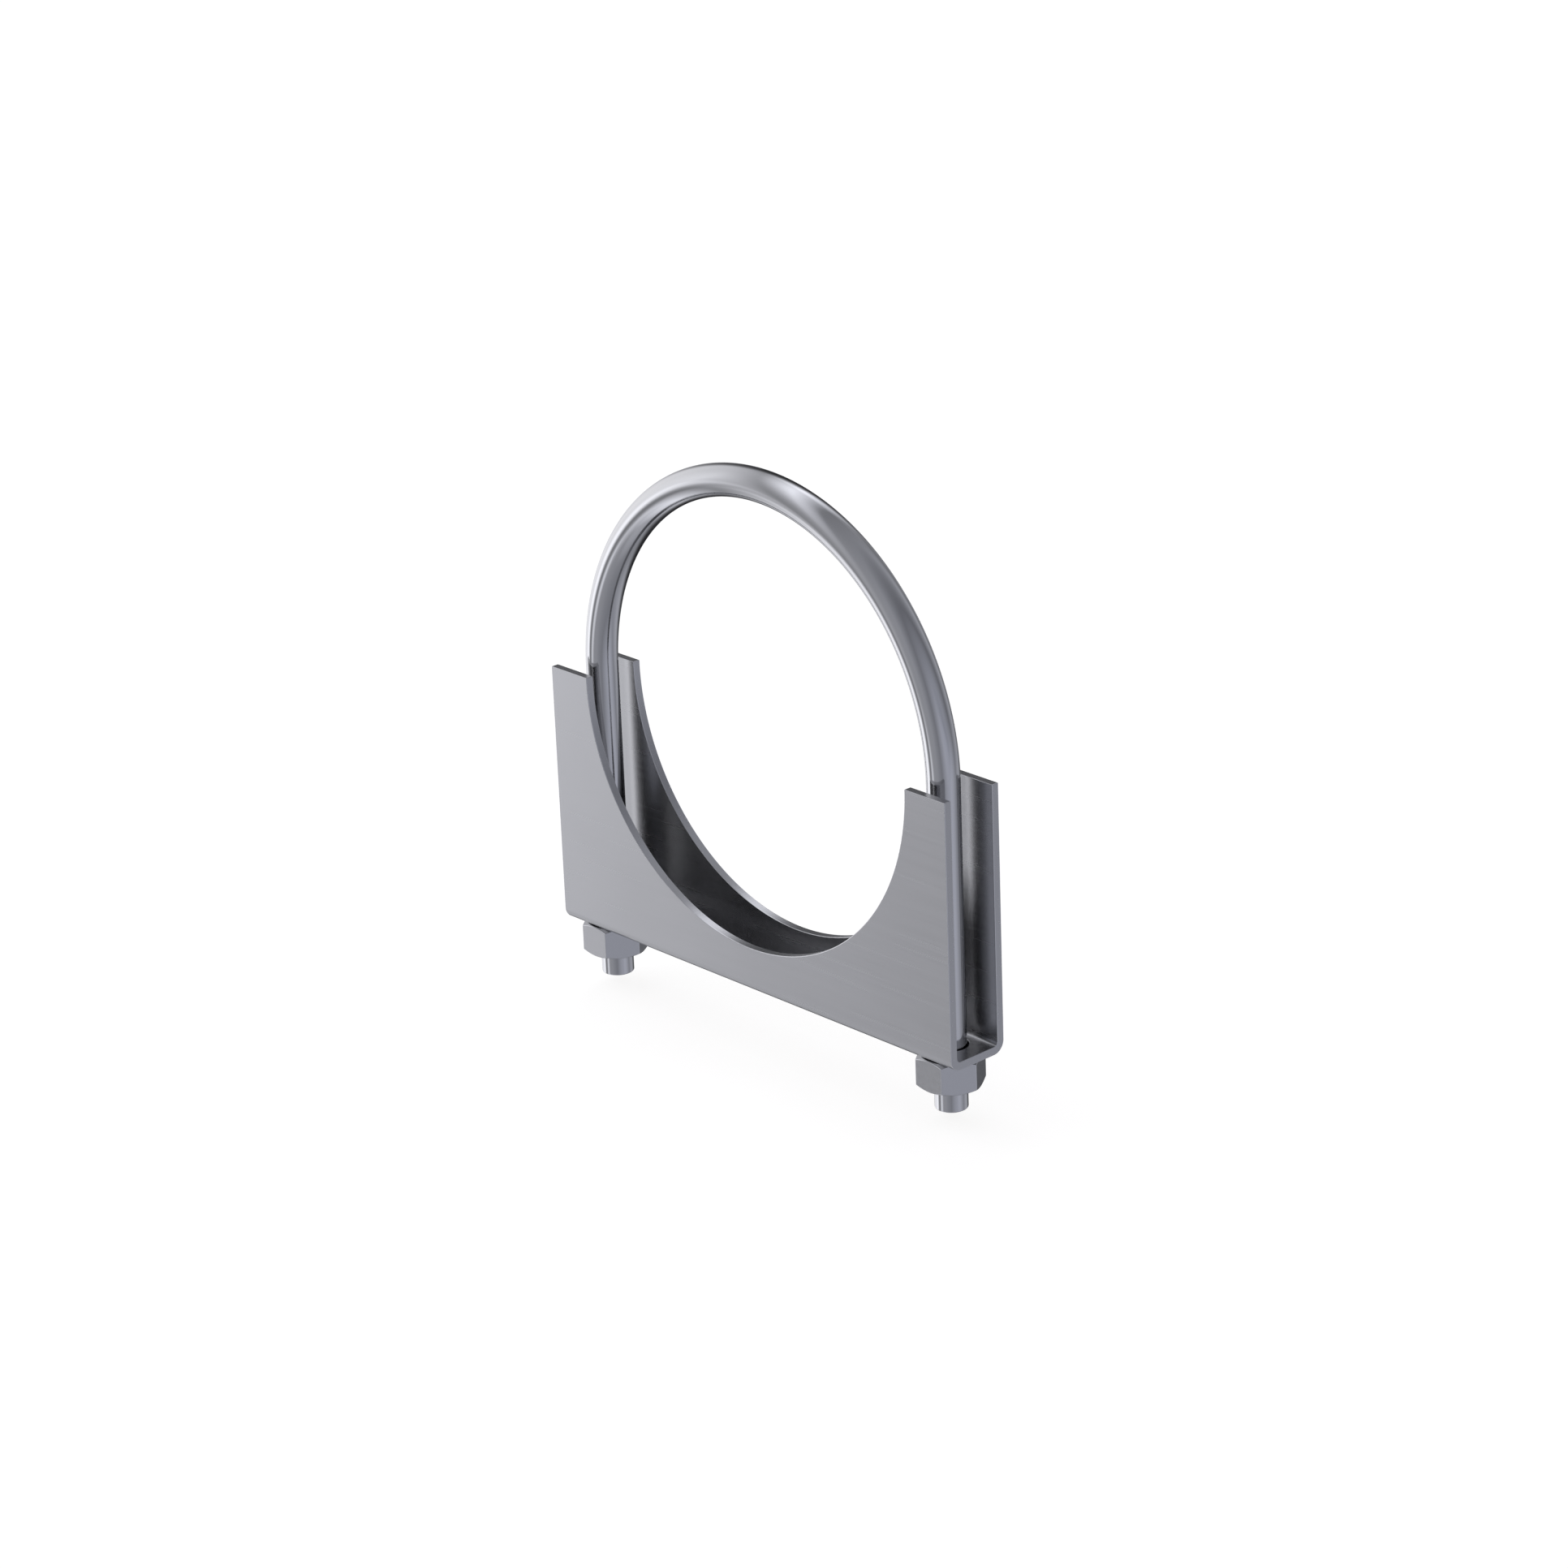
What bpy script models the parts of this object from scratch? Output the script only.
"""A U-bolt saddle clamp for a 127 mm (5 in) pipe: a folded steel saddle, a round-bar
U-bolt and two hexagon nuts. Metres, +Z up. The origin is on the pipe's axis, in the
middle of the clamp's width: X runs from leg to leg, Y along the pipe."""

from math import cos, pi, sin, tan

import bmesh
import bpy

# The pipe that the clamp closes on.
PIPE_DIAMETER = 0.127

# The U-bolt: round bar bent over the pipe, with two straight legs.
BAR_DIAMETER = 0.0092
LEG_STANDOUT = 0.0161  # how far a leg stands out below the saddle's underside
LEG_END_CHAMFER = 0.0003
BAR_SIDES_RESOLUTION = 10
BOW_SEGMENTS = 64

# The saddle: sheet folded into a channel, with a half-round notch in both flanges.
SADDLE_LENGTH = 0.157
SADDLE_WIDTH = 0.020
SADDLE_HEIGHT = 0.0775
SHEET_THICKNESS = 0.0024
BEND_INNER_RADIUS = 0.00125
PIPE_AXIS_HEIGHT = 0.0773  # the notch's centre, above the saddle's underside
LEG_HOLE_DIAMETER = 0.0103
NOTCH_SEGMENTS = 128
HOLE_SEGMENTS = 48
BEND_SEGMENTS = 8

# The nuts: plain hexagon nuts, chamfered on both faces.
NUT_ACROSS_FLATS = 0.017
NUT_HEIGHT = 0.0092
NUT_FACE_DIAMETER = 0.0165
NUT_CHAMFER_ANGLE = pi / 6
NUT_COUNTERSINK_DEPTH = 0.0006
NUT_SEGMENTS = 96

# Clearance between pieces that touch, or that slide on each other.
GAP = 0.0003
# How far a cutter runs past the faces that it cuts.
CUTTER_OVERRUN = 0.005

PIPE_RADIUS = PIPE_DIAMETER / 2
BAR_RADIUS = BAR_DIAMETER / 2
LEG_OFFSET = PIPE_RADIUS + BAR_RADIUS
UNDERSIDE = -PIPE_AXIS_HEIGHT
HORN_TOP = UNDERSIDE + SADDLE_HEIGHT
LEG_END = UNDERSIDE - LEG_STANDOUT
BEND_OUTER_RADIUS = BEND_INNER_RADIUS + SHEET_THICKNESS
SHADE_SHARP_ANGLE = pi / 6


def clear_scene():
    for old in list(bpy.data.objects):
        bpy.data.objects.remove(old, do_unlink=True)


def add_object(name, data, material=None, location=(0, 0, 0), parent=None):
    made = bpy.data.objects.new(name, data)
    bpy.context.scene.collection.objects.link(made)
    made.location = location
    made.parent = parent
    if material:
        made.data.materials.append(material)
    return made


def metal(name, colour, roughness):
    made = bpy.data.materials.new(name)
    made.use_nodes = True
    shader = made.node_tree.nodes["Principled BSDF"]
    shader.inputs["Base Color"].default_value = (*colour, 1)
    shader.inputs["Roughness"].default_value = roughness
    shader.inputs["Metallic"].default_value = 1
    made.diffuse_color = (*colour, 1)
    return made


def arc(centre, radius, start, end, segments):
    """Points on an arc in a plane, both ends included."""
    turns = [start + (end - start) * step / segments for step in range(segments + 1)]
    return [(centre[0] + radius * cos(a), centre[1] + radius * sin(a)) for a in turns]


def mesh_from(bm, name):
    """Closes a bmesh: its faces made to point outwards, its round stretches smooth."""
    bmesh.ops.recalc_face_normals(bm, faces=bm.faces)
    mesh = bpy.data.meshes.new(name)
    bm.to_mesh(mesh)
    bm.free()
    mesh.shade_smooth()
    mesh.set_sharp_from_angle(angle=SHADE_SHARP_ANGLE)
    return mesh


def extruded(name, outline, offset):
    """A closed outline (a list of 3-D points in one plane) pushed along offset."""
    bm = bmesh.new()
    face = bm.faces.new([bm.verts.new(point) for point in outline])
    pushed = bmesh.ops.extrude_face_region(bm, geom=[face])["geom"]
    moved = [item for item in pushed if isinstance(item, bmesh.types.BMVert)]
    bmesh.ops.translate(bm, verts=moved, vec=offset)
    return mesh_from(bm, name)


def turned(name, profile, segments):
    """A solid turned about Z from a profile of (radius, height) that starts and ends at radius 0."""
    bm = bmesh.new()
    verts = [bm.verts.new((radius, 0, height)) for radius, height in profile]
    edges = [bm.edges.new(pair) for pair in zip(verts, verts[1:])]
    bmesh.ops.spin(
        bm, geom=verts + edges, cent=(0, 0, 0), axis=(0, 0, 1), angle=2 * pi, steps=segments
    )
    bmesh.ops.remove_doubles(bm, verts=bm.verts, dist=1e-6)
    return mesh_from(bm, name)


def cutter(name, mesh, location=(0, 0, 0)):
    made = add_object(name, mesh, location=location)
    made.hide_render = True
    made.display_type = "WIRE"
    return made


def boolean(target, tool, operation):
    modifier = target.modifiers.new(tool.name, "BOOLEAN")
    modifier.operation = operation
    modifier.solver = "EXACT"
    modifier.object = tool


def channel_outline():
    """The folded sheet's section across the pipe, as (y, z) points."""
    half = SADDLE_WIDTH / 2
    bend_height = UNDERSIDE + BEND_OUTER_RADIUS
    front_bend = (-half + BEND_OUTER_RADIUS, bend_height)
    back_bend = (half - BEND_OUTER_RADIUS, bend_height)
    outside = (
        [(-half, HORN_TOP)]
        + arc(front_bend, BEND_OUTER_RADIUS, pi, 3 * pi / 2, BEND_SEGMENTS)
        + arc(back_bend, BEND_OUTER_RADIUS, 3 * pi / 2, 2 * pi, BEND_SEGMENTS)
        + [(half, HORN_TOP)]
    )
    inside = (
        [(half - SHEET_THICKNESS, HORN_TOP)]
        + arc(back_bend, BEND_INNER_RADIUS, 2 * pi, 3 * pi / 2, BEND_SEGMENTS)
        + arc(front_bend, BEND_INNER_RADIUS, 3 * pi / 2, pi, BEND_SEGMENTS)
        + [(-half + SHEET_THICKNESS, HORN_TOP)]
    )
    return outside + inside


def make_saddle(parent):
    """The folded channel, notched for the pipe and pierced for the two legs."""
    start = -SADDLE_LENGTH / 2
    outline = [(start, y, z) for y, z in channel_outline()]
    saddle = add_object(
        "saddle",
        extruded("saddle", outline, (SADDLE_LENGTH, 0, 0)),
        metal("zinc_plated_sheet", (0.42, 0.43, 0.45), 0.45),
        parent=parent,
    )
    notch_start = -SADDLE_WIDTH / 2 - CUTTER_OVERRUN
    circle = arc((0, 0), PIPE_RADIUS, 0, 2 * pi, NOTCH_SEGMENTS)[:-1]
    notch = cutter(
        "notch_cutter",
        extruded("notch_cutter", [(x, notch_start, z) for x, z in circle], (0, -2 * notch_start, 0)),
    )
    boolean(saddle, notch, "DIFFERENCE")
    hole_bottom = UNDERSIDE - CUTTER_OVERRUN
    hole_top = UNDERSIDE + SHEET_THICKNESS + CUTTER_OVERRUN
    profile = [(0, 0), (LEG_HOLE_DIAMETER / 2, 0)]
    profile += [(radius, hole_top - hole_bottom) for radius, _ in reversed(profile)]
    drill = turned("leg_hole_cutter", profile, HOLE_SEGMENTS)
    for side, x in (("left", -LEG_OFFSET), ("right", LEG_OFFSET)):
        boolean(saddle, cutter(f"leg_hole_cutter_{side}", drill, (x, 0, hole_bottom)), "DIFFERENCE")
    return saddle


def u_bolt_path():
    """The bar's centre line as (x, z, thickness), with both leg ends tapered to a small chamfer."""
    end_scale = 1 - LEG_END_CHAMFER / BAR_RADIUS
    leg = [(LEG_END, end_scale), (LEG_END + LEG_END_CHAMFER, 1)]
    left_leg = [(-LEG_OFFSET, z, scale) for z, scale in leg]
    bow = [(x, z, 1) for x, z in arc((0, 0), LEG_OFFSET, pi, 0, BOW_SEGMENTS)]
    right_leg = [(LEG_OFFSET, z, scale) for z, scale in reversed(leg)]
    return left_leg + bow + right_leg


def make_u_bolt(parent):
    """Round bar swept along the U: a bow on the pipe's circle between two straight legs."""
    curve = bpy.data.curves.new("u_bolt", "CURVE")
    curve.dimensions = "3D"
    curve.bevel_depth = BAR_RADIUS
    curve.bevel_resolution = BAR_SIDES_RESOLUTION
    curve.use_fill_caps = True
    path = u_bolt_path()
    spline = curve.splines.new("POLY")
    spline.points.add(len(path) - 1)
    for point, (x, z, scale) in zip(spline.points, path):
        point.co = (x, 0, z, 1)
        point.radius = scale
    spline.use_smooth = True
    return add_object(
        "u_bolt", curve, metal("polished_bar", (0.55, 0.56, 0.58), 0.2), parent=parent
    )


def nut_envelope():
    """The turned shape that chamfers a nut's corners: a cylinder coned off at both faces."""
    corner_radius = NUT_ACROSS_FLATS / 2 / cos(pi / 6) + CUTTER_OVERRUN
    face_radius = NUT_FACE_DIAMETER / 2
    drop = (corner_radius - face_radius) * tan(NUT_CHAMFER_ANGLE)
    half = NUT_HEIGHT / 2
    profile = [(0, -half), (face_radius, -half), (corner_radius, -half + drop)]
    profile += [(corner_radius, half - drop), (face_radius, half), (0, half)]
    return turned("nut_envelope", profile, NUT_SEGMENTS)


def nut_bore():
    """The hole through a nut, opened out by a countersink at both faces."""
    bore = BAR_RADIUS + GAP
    half = NUT_HEIGHT / 2
    mouth = bore + NUT_COUNTERSINK_DEPTH
    mouth_outside = mouth + CUTTER_OVERRUN
    profile = [(0, -half - CUTTER_OVERRUN), (mouth_outside, -half - CUTTER_OVERRUN)]
    profile += [(bore, -half + NUT_COUNTERSINK_DEPTH), (bore, half - NUT_COUNTERSINK_DEPTH)]
    profile += [(mouth_outside, half + CUTTER_OVERRUN), (0, half + CUTTER_OVERRUN)]
    return turned("nut_bore_cutter", profile, HOLE_SEGMENTS)


def make_nuts(parent):
    """One nut on each leg, tight under the saddle, each with its origin on its leg's axis."""
    corner = NUT_ACROSS_FLATS / 2 / cos(pi / 6)
    hexagon = arc((0, 0), corner, 0, 2 * pi, 6)[:-1]
    blank = [(x, y, -NUT_HEIGHT / 2) for x, y in hexagon]
    mesh = extruded("nut", blank, (0, 0, NUT_HEIGHT))
    envelope = nut_envelope()
    bore = nut_bore()
    plating = metal("bright_zinc_nut", (0.5, 0.51, 0.54), 0.3)
    mesh.materials.append(plating)
    middle = UNDERSIDE - GAP - NUT_HEIGHT / 2
    for side, x in (("left", -LEG_OFFSET), ("right", LEG_OFFSET)):
        place = (x, 0, middle)
        nut = add_object(f"nut_{side}", mesh, location=place, parent=parent)
        boolean(nut, cutter(f"nut_envelope_{side}", envelope, place), "INTERSECT")
        boolean(nut, cutter(f"nut_bore_cutter_{side}", bore, place), "DIFFERENCE")


clear_scene()
clamp = add_object("clamp", None)
saddle = make_saddle(clamp)
make_u_bolt(clamp)
make_nuts(saddle)
